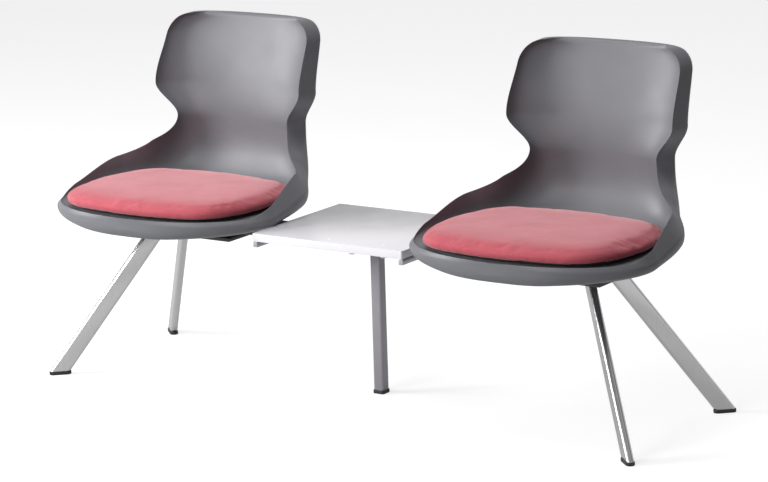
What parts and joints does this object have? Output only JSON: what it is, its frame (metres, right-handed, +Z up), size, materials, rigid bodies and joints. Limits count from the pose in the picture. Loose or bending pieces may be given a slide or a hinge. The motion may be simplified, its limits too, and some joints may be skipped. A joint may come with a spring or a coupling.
{
  "type": "beam seating",
  "caption": "Beam bench with bucket seats in grey plastic, upholstered pads, a white table between the seats and splayed metal legs.",
  "frame": {"origin": "on the floor under the centre post, at the foot cap's flat face", "axes": "+Z up, +X along the beam to the right seat, the seats face -Y"},
  "size_m": [1.554, 0.5518, 0.8],
  "materials": {
    "shell": "matte",
    "pad_fabric": "woven",
    "pad_board": "matte",
    "polished_leg": "satin",
    "beam_paint": "satin",
    "bracket_paint": "satin",
    "post_paint": "satin",
    "table_white": "white laminate",
    "rail_grey": "satin",
    "black_plastic": "matte",
    "zinc": "zinc plated"
  },
  "bodies": {
    "root": {"beam": "beam_paint", "post_flange": "bracket_paint", "centre_post": "post_paint", "foot_cap_centre": "black_plastic", "table_bracket": "bracket_paint", "clamp_centre_bolts": "zinc", "clamp_centre_nuts": "zinc", "table_screws": "zinc", "table_top": "table_white", "table_end_rail_left": "rail_grey", "foot_cap_left_front": "black_plastic", "leg_left_front": "polished_leg", "foot_cap_left_rear": "black_plastic", "leg_left_rear": "polished_leg", "leg_saddle_left": "bracket_paint", "beam_end_cap_left": "black_plastic", "seat_plate_left": "bracket_paint", "clamp_left_bolts": "zinc", "clamp_left_nuts": "zinc", "seat_rail_left_inner": "bracket_paint", "seat_rail_left_outer": "bracket_paint", "seat_screws_left": "zinc", "seat_shell_left": "shell", "pad_base_left": "pad_board", "pad_studs_left": "black_plastic", "seat_pad_left": "pad_fabric", "table_end_rail_right": "rail_grey", "foot_cap_right_front": "black_plastic", "leg_right_front": "polished_leg", "foot_cap_right_rear": "black_plastic", "leg_right_rear": "polished_leg", "leg_saddle_right": "bracket_paint", "beam_end_cap_right": "black_plastic", "seat_plate_right": "bracket_paint", "clamp_right_bolts": "zinc", "clamp_right_nuts": "zinc", "seat_rail_right_inner": "bracket_paint", "seat_rail_right_outer": "bracket_paint", "seat_screws_right": "zinc", "seat_shell_right": "shell", "pad_base_right": "pad_board", "pad_studs_right": "black_plastic", "seat_pad_right": "pad_fabric"}
  },
  "joints": []
}
